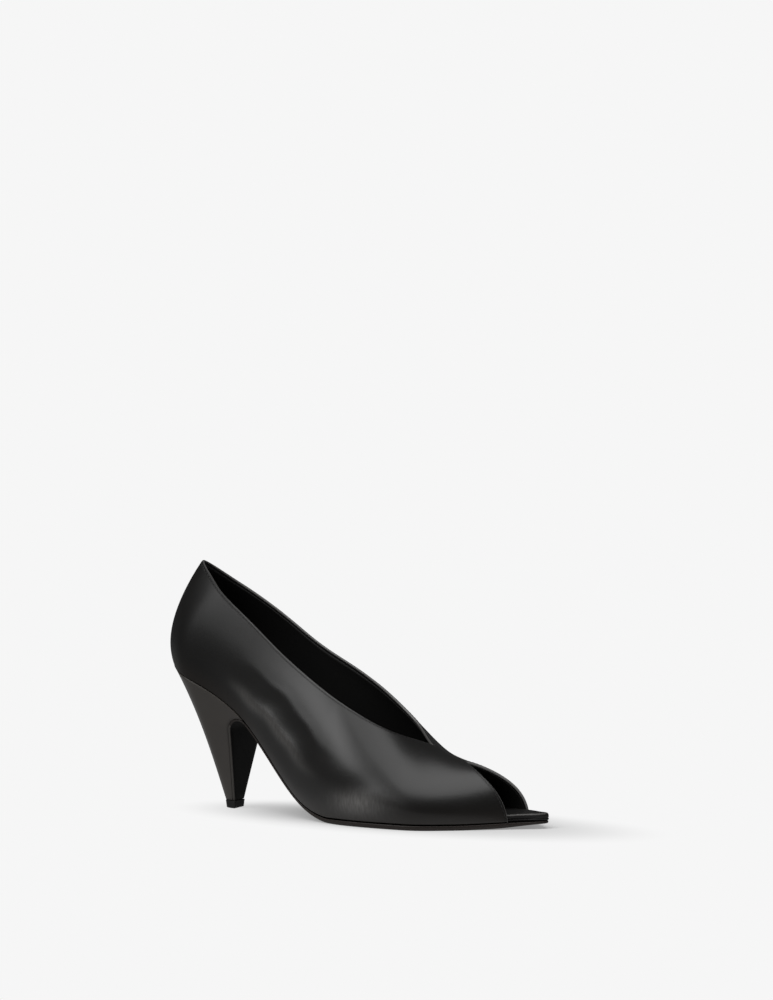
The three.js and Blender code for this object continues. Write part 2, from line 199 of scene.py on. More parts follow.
def even_spline(column):
    """A column as a spline of the section number, alike on both sides."""
    numbers = np.arange(len(column))
    mirrored = np.concatenate([-numbers[:0:-1], numbers])
    return spline(mirrored, np.asarray(column, float)[np.abs(mirrored)])


def closed_outline():
    """Plan outline as splines of the section number, which run on past the tip on both sides."""
    run_on = 6
    numbers = np.arange(-TIP_SECTION - run_on, TIP_SECTION + run_on + 1)
    wrapped = (numbers + TIP_SECTION) % (2 * TIP_SECTION) - TIP_SECTION
    row = np.abs(wrapped)
    outer = -np.asarray(OUTLINE["outer"])[row]
    inner = np.asarray(OUTLINE["inner"])[row]
    along = np.asarray(OUTLINE["along"])[row] * LENGTH
    return spline(numbers, along), spline(numbers, np.where(wrapped < 0, outer, inner) * BALL_WIDTH)


outline_x, outline_y = closed_outline()
side = {name: even_spline(column) for name, column in SIDE.items()}
crown = {name: even_spline(column) for name, column in CROWN.items()}
profile_height = spline(PROFILE["along"], PROFILE["height"])
topline_steps = np.linspace(0, THROAT_SECTION, len(TOPLINE["outer"]))
topline_outer = spline(topline_steps, TOPLINE["outer"])
topline_inner = spline(topline_steps, TOPLINE["inner"])


def outline_normal(section):
    step = 0.001
    dx = outline_x(section + step) - outline_x(section - step)
    dy = outline_y(section + step) - outline_y(section - step)
    length = np.hypot(dx, dy)
    return -dy / length, dx / length


def edge_height(x):
    return FEATHER_HEIGHT + HEEL_HEIGHT * np.maximum(profile_height(x / LENGTH), 0)


def edge_slope(x):
    step = 0.05
    return (edge_height(x + step) - edge_height(x - step)) / (2 * step)


def edge_point(section, outwards, up):
    """A point of the outline moved outwards in plan and then up, square to the profile."""
    nx, ny = outline_normal(section)
    x = outline_x(section) + nx * outwards
    y = outline_y(section) + ny * outwards
    slope = edge_slope(x)
    length = np.hypot(1, slope)
    return np.stack([x - slope * up / length, y, edge_height(x) + up / length], -1)


def crown_slope(section):
    step = 0.001
    s = np.clip(np.abs(section), step, CORNER_SECTION - step)
    rise = (crown["height"](s + step) - crown["height"](s - step)) * INSTEP_HEIGHT
    run = (crown["along"](s + step) - crown["along"](s - step)) * LENGTH
    return blend(0, 1, (s - CROWN_LEAD_FROM) / (CROWN_LEAD_TO - CROWN_LEAD_FROM)) * rise / run


def last_point(section, t):
    """The last's surface: up one side of a section, t = 0 at the lower edge and 1 at the crown."""
    nx, ny = outline_normal(section)
    foot = edge_point(section, 0, 0)

    def lean(out, up):
        return foot + np.stack([nx * out * BALL_WIDTH, ny * out * BALL_WIDTH, up * INSTEP_HEIGHT], -1)

    low = lean(side["low_out"](section), side["low_up"](section))
    high = lean(side["high_out"](section), side["high_up"](section))
    top = np.stack([
        crown["along"](section) * LENGTH,
        crown["shift"](section) * BALL_WIDTH,
        crown["height"](section) * INSTEP_HEIGHT,
    ], -1)
    away = foot - top
    reach = np.hypot(away[..., 0], away[..., 1])
    away = away * (crown["spread"](section) * BALL_WIDTH / reach)[..., None]
    away[..., 2] = away[..., 0] * crown_slope(section)
    t = np.asarray(t)[..., None]
    rest = 1 - t
    return (foot * rest ** 4 + low * 4 * t * rest ** 3 + high * 6 * t ** 2 * rest ** 2
            + (top + away) * 4 * t ** 3 * rest + top * t ** 4)


def upper_point(reach, share):
    """The upper's surface. Reach goes from 0 at the back to 1 at the throat and 2 at the toe opening,
    minus on the outer side. Share goes from 0 at the lower edge to 1 at the rim or the crown."""
    sign = np.where(reach < 0, -1.0, 1.0)
    behind = np.minimum(np.abs(reach), 1) * THROAT_SECTION
    cut = np.where(sign < 0, topline_outer(behind), topline_inner(behind))
    ahead = np.clip(np.abs(reach) - 1, 0, 1)
    foot = THROAT_SECTION + (CORNER_SECTION - THROAT_SECTION) * ahead
    head = THROAT_SECTION + (PEEP_SECTION - THROAT_SECTION) * ahead
    section = np.where(ahead > 0, foot + (head - foot) * share ** PEEP_SWEEP, behind)
    return last_point(sign * section, share * np.where(ahead > 0, 1, cut))


def topline_rim():
    """The topline as a path of close points, from the throat round the back to the throat."""
    reach = np.linspace(-1, 1, 1601)
    return upper_point(reach, np.ones_like(reach))


def peep_rim():
    """The edge of the toe opening as a path of close points, up its outer side and down its inner."""
    share = np.linspace(0, 1, 401)
    return np.concatenate([
        upper_point(np.full_like(share, -2.0), share),
        upper_point(np.full_like(share, 2.0), share[::-1])[1:],
    ])


# Meshes

def shift_to_frame():
    """The frame's origin is the middle of the shoe's box; its top piece says where that is."""
    low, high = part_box("top_piece")
    x = low[0] - (BREAST_X - TIP_DEPTH - TOP_PIECE_PROUD) * MM
    return np.array([x, (low[1] + high[1]) / 2, 0.0])


SHIFT = shift_to_frame()


def in_frame(points):
    return np.asarray(points, float) * MM + SHIFT


def put_in_scene(name, data):
    thing = bpy.data.objects.new(name, data)
    bpy.context.collection.objects.link(thing)
    return thing


def make_piece(name, points, faces, materials, finishes=None, attributes=None):
    """A smooth closed mesh object from points in millimetres. Finishes gives each face's material."""
    mesh = bpy.data.meshes.new(name)
    mesh.from_pydata(in_frame(points).tolist(), [], [tuple(int(i) for i in face) for face in faces])
    for material in materials:
        mesh.materials.append(material)
    if finishes is not None:
        mesh.polygons.foreach_set("material_index", np.asarray(finishes, dtype=np.int32))
    for label, values in (attributes or {}).items():
        layer = mesh.attributes.new(label, "FLOAT", "POINT")
        layer.data.foreach_set("value", np.asarray(values, dtype=np.float32))
    mesh.shade_smooth()
    mesh.validate()
    mesh.update()
    piece = put_in_scene(name, mesh)
    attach(piece, "root")
    return piece


def turned_out(points, faces):
    """The faces, all turned round if their solid is inside out."""
    p = np.asarray(points)
    volume = 0.0
    for face in faces:
        for k in range(1, len(face) - 1):
            volume += np.dot(p[face[0]], np.cross(p[face[k]], p[face[k + 1]]))
    if volume < 0:
        return [face[::-1] for face in faces]
    return faces


def tidy_solid(points, faces):
    """Drops repeated corners, faces that this leaves empty and points that no face uses.
    Gives points, faces turned outwards, and which of the old faces and points stay."""
    rings = [list(dict.fromkeys(int(corner) for corner in face)) for face in faces]
    kept = np.array([len(ring) > 2 for ring in rings])
    rings = [ring for ring in rings if len(ring) > 2]
    used = np.zeros(len(points), bool)
    for ring in rings:
        used[ring] = True
    renumber = np.cumsum(used) - 1
    faces = [renumber[ring].tolist() for ring in rings]
    return points[used], turned_out(points[used], faces), kept, used


def grid_normals(points, index):
    """Outward unit normals at the points of a grid whose cells join the points that index names."""
    corners = index[:-1, :-1], index[:-1, 1:], index[1:, 1:], index[1:, :-1]
    a, b, c, d = (points[corner] for corner in corners)
    cell = np.cross(c - a, d - b)
    total = np.zeros_like(points)
    for corner in corners:
        np.add.at(total, corner, cell)
    return total / np.maximum(np.linalg.norm(total, axis=-1, keepdims=True), TINY)


def distance_to_path(points, path):
    """Distance of each point to a path of close points."""
    tree = KDTree(len(path))
    for i, place in enumerate(path):
        tree.insert(place, i)
    tree.balance()
    nearest = np.array([tree.find(point)[1] for point in points])
    best = np.full(len(points), np.inf)
    for start, end in ((np.maximum(nearest - 1, 0), nearest),
                       (nearest, np.minimum(nearest + 1, len(path) - 1))):
        a = path[start]
        along = path[end] - a
        square = np.maximum((along ** 2).sum(-1), TINY)
        share = np.clip(((points - a) * along).sum(-1) / square, 0, 1)
        best = np.minimum(best, np.linalg.norm(a + along * share[:, None] - points, axis=-1))
    return best


def rounding(distance, radius):
    """How far a surface falls back, at a distance from an edge that is rounded with that radius."""
    inside = np.clip(distance, 0, radius)
    return radius - np.sqrt(np.maximum(radius ** 2 - (radius - inside) ** 2, 0))


# Upper

# Creases of the leather. A ridge is its height, its place across the fold and its half width.
WAIST_FOLD = {"start": (0.20 * LENGTH, 1.06 * HEEL_HEIGHT), "end": (0.455 * LENGTH, 0.39 * HEEL_HEIGHT)}
FOLD_RIDGES = [(0.75, 0, 3.2), (-0.50, 8.5, 5), (-0.42, -7.5, 5)]
SMALL_FOLD = (0.20, 15, 2.6)
# Half width of the painted highlight along the waist fold
FOLD_SHINE_WIDTH = 3.0
INNER_FOLD_SHARE = 0.5
BALL_FLEX = {"centre": (0.60 * LENGTH, 0.175 * HEEL_HEIGHT), "long": 15, "high": 6}
FLEX_BULGE = 0.75
FLEX_HOLLOW = {"depth": 0.35, "up": 9, "width": 7, "stretch": 1.6}
WRINKLE_DEPTH = 0.05

# Stiff heel counter inside the upper, over which the leather is drier and painted darker as painted shade,
# and the strip over the sole where the leather is browner
COUNTER_FRONT = 62
COUNTER_SOFTNESS = 38
LOW_STRIP = 13

# Rounding of the lower edge, the height over which the wall turns upright there, and the leather's turn-in
LOWER_EDGE_ROUNDING = 0.9
FOOT_TURN = 4
TURN_IN = 1.0


def along_and_across(points, start, end):
    """Share along a line drawn in side view, and millimetres across it, upwards positive."""
    start = np.array(start)
    line = np.array(end) - start
    length = np.hypot(*line)
    dx, dz = points[:, 0] - start[0], points[:, 2] - start[1]
    return (dx * line[0] + dz * line[1]) / length ** 2, (line[0] * dz - line[1] * dx) / length


def waist_fold(points):
    """Millimetres across the fold over the waist, and how strong it is at each point."""
    along, across = along_and_across(points, WAIST_FOLD["start"], WAIST_FOLD["end"])
    waver = 0.9 * np.sin(along * 9) + 0.5 * np.sin(along * 21 + 1)
    return across + waver, blend(0, 1, along / 0.3) * blend(1, 0, (along - 0.7) / 0.45)


def from_ball(points):
    return points[:, 0] - BALL_FLEX["centre"][0], points[:, 2] - BALL_FLEX["centre"][1]


def ball_flex(points):
    """How much the leather over the ball has been bent, 1 in the middle of the spot, where a painted
    highlight also lies.
    """
    dx, dz = from_ball(points)
    return np.exp(-(dx / BALL_FLEX["long"]) ** 2 - (dz / BALL_FLEX["high"]) ** 2)


def crease_depth(points, reach):
    """Soft creases and hollows of the leather, as moves outwards in millimetres."""
    across, strength = waist_fold(points)
    fold = sum(height * hump(across, place, width) for height, place, width in FOLD_RIDGES)
    height, place, width = SMALL_FOLD
    small = height * hump(across, place, width) * strength
    flex = ball_flex(points)
    dx, dz = from_ball(points)
    wrinkles = WRINKLE_DEPTH * np.sin(dx * 1.9 + 0.5 * np.sin(dz * 0.8)) * flex ** 2
    from_hollow = np.hypot(dx / FLEX_HOLLOW["stretch"], dz - FLEX_HOLLOW["up"])
    spot = FLEX_BULGE * flex - FLEX_HOLLOW["depth"] * hump(from_hollow, 0, FLEX_HOLLOW["width"])
    outer = fold * strength + small + spot + wrinkles
    return np.where(reach < 0, outer, INNER_FOLD_SHARE * fold * strength)


def upper_grid():
    """Grid of the upper's surface, closer at every rim: reach and share of each point, and the index
    that joins both sides along the crown."""
    behind = np.concatenate([np.linspace(0, .985, 165), [.990, .994, .997, .999]])
    front = np.concatenate([
        [0, .01, .025, .05],
        np.linspace(.08, .90, 38),
        [.93, .955, .972, .984, .992, .997, 1],
    ])
    half = np.concatenate([behind, 1 + front])
    reach = np.concatenate([-half[:0:-1], half])
    share = np.concatenate([
        [0, .004, .010, .018, .028],
        np.linspace(.042, .955, 62),
        [.966, .975, .982, .988, .993, .997, 1],
    ])
    columns, rows = len(reach), len(share)
    index = np.arange(columns * rows).reshape(columns, rows)
    for column in np.where(np.abs(reach) >= 1)[0]:
        index[column, -1] = index[max(column, columns - 1 - column), -1]
    return reach, share, index


def build_upper(leather, lining):
    reach, share, index = upper_grid()
    columns, rows = index.shape
    u, v = (grid.ravel() for grid in np.meshgrid(reach, share, indexing="ij"))
    surface = upper_point(u, v)
    normals = grid_normals(surface, index)
    to_peep = distance_to_path(surface, peep_rim())
    to_rim = np.minimum(distance_to_path(surface, topline_rim()), to_peep)
    on_rim = (np.abs(u) == 2) | ((v == 1) & (np.abs(u) <= 1))
    to_rim[on_rim] = 0
    steps = np.linalg.norm(np.diff(surface.reshape(columns, rows, 3), axis=1), axis=-1)
    from_sole = np.concatenate([np.zeros((columns, 1)), np.cumsum(steps, axis=1)], axis=1).ravel()
    moved = surface + normals * crease_depth(surface, u)[:, None]
    back = rounding(to_rim, UPPER_WALL / 2)
    away_from_rim = blend(1, 0, (LOWER_EDGE_ROUNDING - to_rim) / LOWER_EDGE_ROUNDING)
    tucked = rounding(from_sole, LOWER_EDGE_ROUNDING) * away_from_rim
    outside = moved - normals * np.maximum(back, tucked)[:, None]
    inwards = normals.copy()
    inwards[:, 2] *= blend(0, 1, from_sole / FOOT_TURN)
    inwards /= np.maximum(np.linalg.norm(inwards, axis=-1, keepdims=True), TINY)
    inside = moved - inwards * (UPPER_WALL - back)[:, None]
    inner = np.where(on_rim[index], index, index + columns * rows)
    faces = []
    finishes = []
    for c in range(columns - 1):
        for r in range(rows - 1):
            faces.append((index[c, r], index[c + 1, r], index[c + 1, r + 1], index[c, r + 1]))
            faces.append((inner[c, r], inner[c, r + 1], inner[c + 1, r + 1], inner[c + 1, r]))
            finishes += [0, 0 if to_rim[index[c, r]] < TURN_IN else 1]
        faces.append((index[c, 0], inner[c, 0], inner[c + 1, 0], index[c + 1, 0]))
        finishes.append(0)
    points, faces, kept, used = tidy_solid(np.concatenate([outside, inside]), faces)
    to_rim, to_peep, from_sole = (np.tile(values, 2)[used] for values in (to_rim, to_peep, from_sole))
    across, strength = waist_fold(points)
    outer_side = points[:, 1] < 0
    labels = {
        # Distance to the nearest rim, along which a painted highlight runs
        "rim": to_rim,
        # Where the toe opening is the nearest rim, so the painted highlight there is paler
        "toe": to_peep <= to_rim + 0.01,
        # Where the leather is drier and painted darker, as painted shade
        "counter": blend(1, 0, (points[:, 0] - COUNTER_FRONT + COUNTER_SOFTNESS) / COUNTER_SOFTNESS),
        # Where a painted highlight runs along the waist fold
        "fold": hump(across, 0, FOLD_SHINE_WIDTH) * strength * outer_side,
        # Where a painted highlight lies over the ball
        "flex": ball_flex(points) * outer_side,
        "low": blend(1, 0, from_sole / LOW_STRIP),
    }
    materials = [leather, lining]
    finishes = np.array(finishes)[kept]
    piece = make_piece("upper_leather", points, faces, materials, finishes, labels)
    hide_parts("upper")
    return piece


LINING_THICKNESS = 0.45
LINING_SETBACK = 1.5
LINING_JOIN = 1.06
LINING_GAP = 0.04
LINING_START = 0.6


def build_lining(material):
    """Thin leather inside the upper: it starts over the insole and ends a little below every rim."""
    half = np.concatenate([
        np.linspace(0, 1, 90),
        np.linspace(1.01, LINING_JOIN, 6),
        np.linspace(1.1, 1.97, 36),
    ])
    reach = np.concatenate([-half[:0:-1], half])
    rows = np.concatenate([np.linspace(0, 0.96, 34), [0.98, 1]])
    columns = len(reach)
    steps = np.linspace(0, 1, 60)
    column = upper_point(np.repeat(reach, len(steps)), np.tile(steps, columns))
    column = column.reshape(columns, len(steps), 3)
    length = np.linalg.norm(np.diff(column, axis=1), axis=-1).sum(1)
    lowest = (INSOLE_THICKNESS + LINING_START) / length
    setback = LINING_SETBACK / length * blend(1, 0, (np.abs(reach) - 1) / (LINING_JOIN - 1))
    share = lowest[:, None] + (1 - setback - lowest)[:, None] * rows
    index = np.arange(share.size).reshape(share.shape)
    for c in np.where(np.abs(reach) >= LINING_JOIN)[0]:
        index[c, -1] = index[max(c, columns - 1 - c), -1]
    every_reach = np.repeat(reach, len(rows))
    surface = upper_point(every_reach, share.ravel())
    normals = grid_normals(surface, index)
    depth = UPPER_WALL + LINING_GAP
    moved = surface + normals * crease_depth(surface, every_reach)[:, None]
    outside = moved - normals * depth
    inside = moved - normals * (depth + LINING_THICKNESS)
    total = share.size
    faces = []
    for c in range(columns - 1):
        for r in range(len(rows) - 1):
            a, b, d, e = index[c, r], index[c + 1, r], index[c + 1, r + 1], index[c, r + 1]
            faces.append([a, b, d, e])
            faces.append([a + total, e + total, d + total, b + total])
        low_a, low_b = index[c, 0], index[c + 1, 0]
        faces.append([low_a, low_a + total, low_b + total, low_b])
        top_a, top_b = index[c, -1], index[c + 1, -1]
        if min(abs(reach[c]), abs(reach[c + 1])) < LINING_JOIN:
            faces.append([top_a, top_b, top_b + total, top_a + total])
    for c, step in ((0, 1), (columns - 1, -1)):
        for r in range(len(rows) - 1):
            a, b = index[c, r], index[c, r + 1]
            faces.append([a, b, b + total, a + total][::step])
    points, faces, _, _ = tidy_solid(np.concatenate([outside, inside]), faces)
    return make_piece("lining_leather", points, faces, [material])


# Stitches

STITCH_SETBACK = 1.5
STITCH_SPACING = 2.3
STITCH_LENGTH = 1.9
THREAD_THICKNESS = 0.30
THREAD_SUNK = 0.02


def setback_crossing(distance, places):
    """Where among the places the distance to a rim falls below the stitches' setback, or None."""
    inside = np.where((distance[:-1] >= STITCH_SETBACK) & (distance[1:] < STITCH_SETBACK))[0]
    if not len(inside):
        return None
    k = inside[-1]
    part = (distance[k] - STITCH_SETBACK) / (distance[k] - distance[k + 1])
    return places[k] + (places[k + 1] - places[k]) * part


def topline_seam():
    """Seam line below the topline, from one side of the throat round the back to the other."""
    reach = np.concatenate([
        np.linspace(-1.12, -0.97, 50),
        np.linspace(-0.965, 0.965, 500),
        np.linspace(0.97, 1.12, 50),
    ])
    share = np.linspace(0.80, 1, 41)
    u, v = np.meshgrid(reach, share, indexing="ij")
    distance = distance_to_path(upper_point(u.ravel(), v.ravel()), topline_rim()).reshape(u.shape)
    seam = []
    for i in range(len(reach)):
        crossing = setback_crossing(distance[i], share)
        if crossing is not None:
            seam.append((reach[i], crossing))
    seam = np.array(seam)
    return upper_point(seam[:, 0], seam[:, 1]), seam[:, 0]


def peep_seam():
    """Seam line behind the edge of the toe opening, up one side and down the other."""
    share = np.concatenate([np.linspace(0.05, 0.98, 90), [1]])
    reach = np.linspace(1.5, 2, 61)
    rim = peep_rim()
    sides = []
    for sign in (-1, 1):
        u, v = np.meshgrid(reach * sign, share, indexing="ij")
        distance = distance_to_path(upper_point(u.ravel(), v.ravel()), rim).reshape(u.shape)
        line = []
        for j in range(len(share)):
            crossing = setback_crossing(distance[:, j], reach)
            if crossing is not None:
                line.append((sign * crossing, share[j]))
        sides.append(line)
    seam = np.array(sides[0] + sides[1][::-1][1:])
    return upper_point(seam[:, 0], seam[:, 1]), seam[:, 0]


def stitch_tree():
    """Stitches along a curve: one long bead of thread at every step, joined into one mesh."""
    tree = bpy.data.node_groups.new("stitches along a seam", "GeometryNodeTree")
    tree.interface.new_socket("Geometry", in_out="INPUT", socket_type="NodeSocketGeometry")
    for name in ("Spacing", "Length", "Thickness"):
        tree.interface.new_socket(name, in_out="INPUT", socket_type="NodeSocketFloat")
    tree.interface.new_socket("Thread", in_out="INPUT", socket_type="NodeSocketMaterial")
    tree.interface.new_socket("Geometry", in_out="OUTPUT", socket_type="NodeSocketGeometry")
    start = tree.nodes.new("NodeGroupInput")
    end = tree.nodes.new("NodeGroupOutput")
    steps = tree.nodes.new("GeometryNodeResampleCurve")
    steps.mode = "LENGTH"
    bead = tree.nodes.new("GeometryNodeMeshUVSphere")
    bead.inputs["Segments"].default_value = 8
    bead.inputs["Rings"].default_value = 6
    bead.inputs["Radius"].default_value = 0.5
    size = tree.nodes.new("ShaderNodeCombineXYZ")
    tangent = tree.nodes.new("GeometryNodeInputTangent")
    turn = tree.nodes.new("FunctionNodeAlignRotationToVector")
    turn.axis = "X"
    place = tree.nodes.new("GeometryNodeInstanceOnPoints")
    smooth = tree.nodes.new("GeometryNodeSetShadeSmooth")
    realize = tree.nodes.new("GeometryNodeRealizeInstances")
    finish = tree.nodes.new("GeometryNodeSetMaterial")
    for source, output, target, entry in [
        (start, "Geometry", steps, "Curve"),
        (start, "Spacing", steps, "Length"),
        (start, "Length", size, "X"),
        (start, "Thickness", size, "Y"),
        (start, "Thickness", size, "Z"),
        (steps, "Curve", place, "Points"),
        (bead, "Mesh", place, "Instance"),
        (tangent, "Tangent", turn, "Vector"),
        (turn, "Rotation", place, "Rotation"),
        (size, "Vector", place, "Scale"),
        (place, "Instances", realize, "Geometry"),
        (realize, "Geometry", smooth, "Geometry"),
        (smooth, "Geometry", finish, "Geometry"),
        (start, "Thread", finish, "Material"),
        (finish, "Geometry", end, "Geometry"),
    ]:
        tree.links.new(source.outputs[output], target.inputs[entry])
    return tree


def upper_lift(points, reach):
    """Moves of seam points with the leather's creases, small enough to take them straight outwards."""
    outwards = points - np.array([0.5 * LENGTH, 0, 0.3 * HEEL_HEIGHT])
    outwards /= np.linalg.norm(outwards, axis=-1, keepdims=True)
    return outwards * crease_depth(points, reach)[:, None]


def build_stitches(name, seam, upper, tree, thread):
    """A row of stitches on the upper's surface along the seam, as a plain mesh."""
    points, reach = seam
    points = points + upper_lift(points, reach)
    corners = [vertex.co for vertex in upper.data.vertices]
    skin = BVHTree.FromPolygons(corners, [polygon.vertices for polygon in upper.data.polygons])
    laid = []
    for point in in_frame(points):
        spot, normal, _, _ = skin.find_nearest(Vector(point))
        laid.append(spot - normal * (THREAD_SUNK * MM))
    curve = bpy.data.curves.new(name, "CURVE")
    curve.dimensions = "3D"
    line = curve.splines.new("POLY")
    line.points.add(len(laid) - 1)
    for knot, spot in zip(line.points, laid):
        knot.co = (*spot, 1)
    seam_line = put_in_scene(name + "_line", curve)
    modifier = seam_line.modifiers.new("stitches", "NODES")
    modifier.node_group = tree
    sizes = {
        "Spacing": STITCH_SPACING * MM,
        "Length": STITCH_LENGTH * MM,
        "Thickness": THREAD_THICKNESS * MM,
        "Thread": thread,
    }
    for socket in tree.interface.items_tree:
        if socket.in_out == "INPUT" and socket.name in sizes:
            modifier[socket.identifier] = sizes[socket.name]
    bpy.context.view_layer.update()
    depsgraph = bpy.context.evaluated_depsgraph_get()
    mesh = bpy.data.meshes.new_from_object(seam_line.evaluated_get(depsgraph), depsgraph=depsgraph)
    bpy.data.objects.remove(seam_line)
    mesh.name = name
    piece = put_in_scene(name, mesh)
    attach(piece, "root")
    return piece


# Insole, outsole, heel and top piece

def closed_rings(rings, across_first=1, across_last=1):
    """A solid between closed rings with alike numbers of points, its ends filled by strips across.
    Point 0 of a ring is its nose, and point i lies across from point count - i."""
    count = len(rings[0])
    points = list(np.concatenate(rings))
    faces = []
    for r in range(len(rings) - 1):
        for i in range(count):
            j = (i + 1) % count
            faces.append([r * count + i, r * count + j, (r + 1) * count + j, (r + 1) * count + i])

    def fill(first, across):
        """Fills the ring whose points are numbered from first."""
        rows = []
        for i in range(count // 2 + 1):
            a, b = first + i, first + (count - i) % count
            if a == b:
                rows.append([a] * (across + 1))
            elif b == a + 1:
                strip = rows[-1] + [b, a]
                faces.append(strip[::-1] if first else strip)
            else:
                rows.append([a, *range(len(points), len(points) + across - 1), b])
                for k in range(1, across):
                    points.append(points[a] * (1 - k / across) + points[b] * (k / across))
        for near, far in zip(rows[:-1], rows[1:]):
            for k in range(across):
                corners = list(dict.fromkeys((near[k], near[k + 1], far[k + 1], far[k])))
                if len(corners) > 2:
                    faces.append(corners[::-1] if first else corners)

    fill(0, across_first)
    fill((len(rings) - 1) * count, across_last)
    points = np.array(points)
    return points, turned_out(points, faces)


def past_corner(section):
    """How far a section lies past the corners of the toe opening, 1 at the tip."""
    return (np.abs(section) - CORNER_SECTION) / (TIP_SECTION - CORNER_SECTION)


# Side of the insole from below, as inset and height: its rounded foot and the groove under the cover
INSOLE_SIDE = [(0.5, 0), (0.15, 0.25), (0, 0.6), (0, 1.05), (0.28, 1.25), (0.28, 1.4), (0, 1.6)]
INSOLE_ROUNDING = 1.4

# How strongly the painted highlight shows, ring by ring, over the rounding of the top edge
HIGHLIGHT_RINGS = (0.3, 0.8, 1, 1, 0.7, 0.25)


def build_insole(material):
    around = 440
    sections = np.linspace(-TIP_SECTION, TIP_SECTION, around, endpoint=False)
    proud = blend(-UPPER_WALL - FIT_GAP, INSOLE_NOSE_PROUD, past_corner(sections))

    def ring(extra, up):
        return edge_point(sections, proud - extra, up)

    rings = [ring(inset, up) for inset, up in INSOLE_SIDE]
    for turn in np.linspace(0, math.pi / 2, 10):
        up = INSOLE_THICKNESS - INSOLE_ROUNDING + INSOLE_ROUNDING * math.sin(turn)
        rings.append(ring(INSOLE_ROUNDING * (1 - math.cos(turn)), up))
    points, faces = closed_rings(rings, across_last=10)
    # Painted highlight along the rounded top edge, ring by ring
    painted_edge_highlight = np.zeros(len(points))
    first_highlight_ring = len(rings) - 2 - len(HIGHLIGHT_RINGS)
    for r, amount in enumerate(HIGHLIGHT_RINGS, first_highlight_ring):
        painted_edge_highlight[r * around:(r + 1) * around] = amount
    piece = make_piece("insole_cover", points, faces, [material], None, {"painted_edge_highlight": painted_edge_highlight})
    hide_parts("insole")
    return piece


def arch_path():
    start_x = ARCH_START * LENGTH
    slope = float(edge_slope(start_x))
    down = np.array([slope, -1]) / math.hypot(slope, 1)
    start = np.array([start_x, float(edge_height(start_x))]) + down * (FIT_GAP + WAIST_THICKNESS)
    centre = start + down * ARCH_RADIUS
    foot = np.array([BREAST_X, TOP_PIECE_HEIGHT + FIT_GAP])
    to_centre = centre - foot
    rise = math.atan2(to_centre[1], to_centre[0]) + math.asin(ARCH_RADIUS / np.linalg.norm(to_centre))
    return {
        "start": start,
        "centre": centre,
        "foot": foot,
        "start_angle": math.atan2(-down[1], -down[0]),
        "end_angle": rise + math.pi / 2,
    }


arch = arch_path()


def arch_point(angle, raised):
    return arch["centre"] + (ARCH_RADIUS + raised) * np.array([math.cos(angle), math.sin(angle)])


def depth_behind_face(x, z):
    """Depth behind the outsole's lower face, past the arch's start, round it and down the breast."""
    start_normal = np.array([math.cos(arch["start_angle"]), math.sin(arch["start_angle"])])
    end_normal = np.array([math.cos(arch["end_angle"]), math.sin(arch["end_angle"])])
    fx, fz = x - arch["centre"][0], z - arch["centre"][1]
    breast = (x - arch["foot"][0]) * end_normal[0] + (z - arch["foot"][1]) * end_normal[1]
    waist = (x - arch["start"][0]) * start_normal[0] + (z - arch["start"][1]) * start_normal[1]
    circle = np.hypot(fx, fz) - ARCH_RADIUS
    below = fx * end_normal[1] - fz * end_normal[0] < 0
    before = fx * start_normal[1] - fz * start_normal[0] > 0
    return np.where(below, breast, np.where(before, waist, circle))


def heel_point(section, t):
    """Side of the heel: from the seat's edge, t = 0, to the rim of the tip, t = 1."""
    seat = edge_point(section, 0, -FIT_GAP)
    turn = math.pi / 2 * section / BREAST_STATION
    height = np.full_like(turn, TOP_PIECE_HEIGHT + FIT_GAP)
    rim = np.stack([BREAST_X - TIP_DEPTH * np.cos(turn), TIP_WIDTH / 2 * np.sin(turn), height], -1)
    nx, ny = outline_normal(section)
    t = np.asarray(t, float)
    hollow = HEEL_HOLLOW * np.sin(math.pi * t ** HOLLOW_RISE)
    point = seat + (rim - seat) * t[..., None]
    point[..., 0] -= nx * hollow
    point[..., 1] -= ny * hollow * SIDE_HOLLOW_SHARE
    return point


def heel_side_y(sign, x, z):
    def at(section):
        seat_z = heel_point(sign * section, np.zeros_like(section))[..., 2]
        share = (seat_z - z) / (seat_z - TOP_PIECE_HEIGHT - FIT_GAP)
        return heel_point(sign * section, np.clip(share, 0, 1))

    x = np.asarray(x, float)
    low = np.full_like(x, HEEL_BACK_SECTION)
    section = solve(low, np.full_like(x, HEEL_FRONT_SECTION), lambda s: at(s)[..., 0] - x)
    return at(section)[..., 1]


# Edge of the sole from its lower face to its upper one, as share of the thickness and inset
SOLE_EDGE = [(0, 0.8), (0.07, 0.46), (0.18, 0.18), (0.35, 0), (0.88, 0), (0.96, 0.08), (1, 0.22)]

# Share of the arch from which the flap's sides have the heel's finish
FLAP_FINISH_FROM = 0.75


